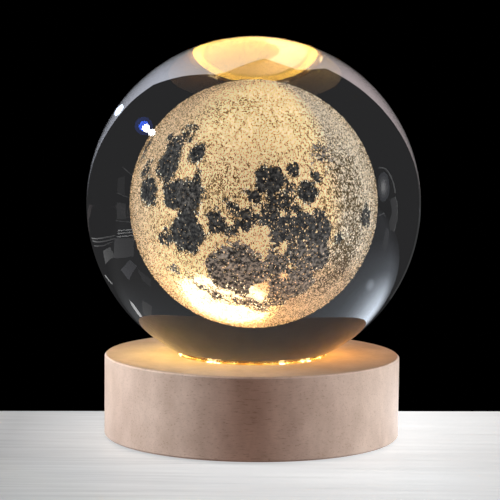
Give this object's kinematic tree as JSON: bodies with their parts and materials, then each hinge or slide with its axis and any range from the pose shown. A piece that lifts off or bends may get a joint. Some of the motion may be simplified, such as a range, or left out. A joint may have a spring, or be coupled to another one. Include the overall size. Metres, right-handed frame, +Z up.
{
  "type": "crystal ball night light",
  "caption": "Clear glass ball with the Moon engraved inside, resting on a round wooden base with a warm LED lamp, a USB-C socket and a push button.",
  "frame": {"origin": "centre of the base on the surface that it stands on, on the axis of the ball", "axes": "+Z up through the ball; +Y towards the rear, where the USB socket and the button are; +X to the right as the front is seen"},
  "size_m": [0.08, 0.08, 0.0963],
  "materials": {
    "clear_glass": "polished clear crystal glass",
    "engraved_glass": "fine grains of fractured glass, lit warm from below",
    "beech": "sanded pale beech, thin matt oil",
    "clear_silicone": "clear and glossy",
    "frosted_acrylic": "frosted",
    "white_board": "white solder mask",
    "led_package": "moulded",
    "led_phosphor": "resin",
    "chip_black": "moulded, tinned ends",
    "zinc_screw": "zinc plated",
    "red_insulation": "smooth",
    "black_insulation": "smooth",
    "green_board": "green solder mask",
    "plated_steel": "nickel plated",
    "black_plastic": "moulded",
    "gold_contact": "gold plated",
    "tinned_pin": "tinned",
    "white_nylon": "moulded",
    "spring_steel": "bright drawn wire",
    "button_plastic": "fine moulded grain",
    "cover_plastic": "fine moulded grain",
    "black_screw": "black oxide",
    "foot_rubber": "matt"
  },
  "bodies": {
    "base": {"wooden_base": "beech", "seat_ring": "clear_silicone", "diffuser_lens": "frosted_acrylic", "led_board": "white_board", "warm_white_leds": "led_package", "led_phosphor": "led_phosphor", "led_resistors": "chip_black", "led_board_screws": "zinc_screw", "lead_wire_red": "red_insulation", "lead_wire_black": "black_insulation", "power_board": "green_board", "power_board_screws": "zinc_screw", "sink_resistors": "chip_black", "usb_socket_shell": "plated_steel", "usb_socket_tongue": "black_plastic", "usb_contacts": "gold_contact", "switch_body": "black_plastic", "switch_pins": "tinned_pin", "switch_spring": "spring_steel", "bottom_cover": "cover_plastic", "bottom_cover_screws": "black_screw", "rubber_feet": "foot_rubber"},
    "ball": {"crystal_ball": "clear_glass", "moon_engraving": "engraved_glass"},
    "button": {"switch_plunger": "white_nylon", "button_cap": "button_plastic"}
  },
  "joints": [
    {"name": "ball_lift", "type": "slide", "parent": "base", "child": "ball", "axis": [0, 0, 1], "range_m": [0, 0.06]},
    {"name": "button_press", "type": "slide", "parent": "base", "child": "button", "axis": [0, -1, 0], "range_m": [0, 0.0015], "stiffness_N_per_m": 900, "springref_m": -0.0008, "deforming": ["switch_spring"]}
  ]
}
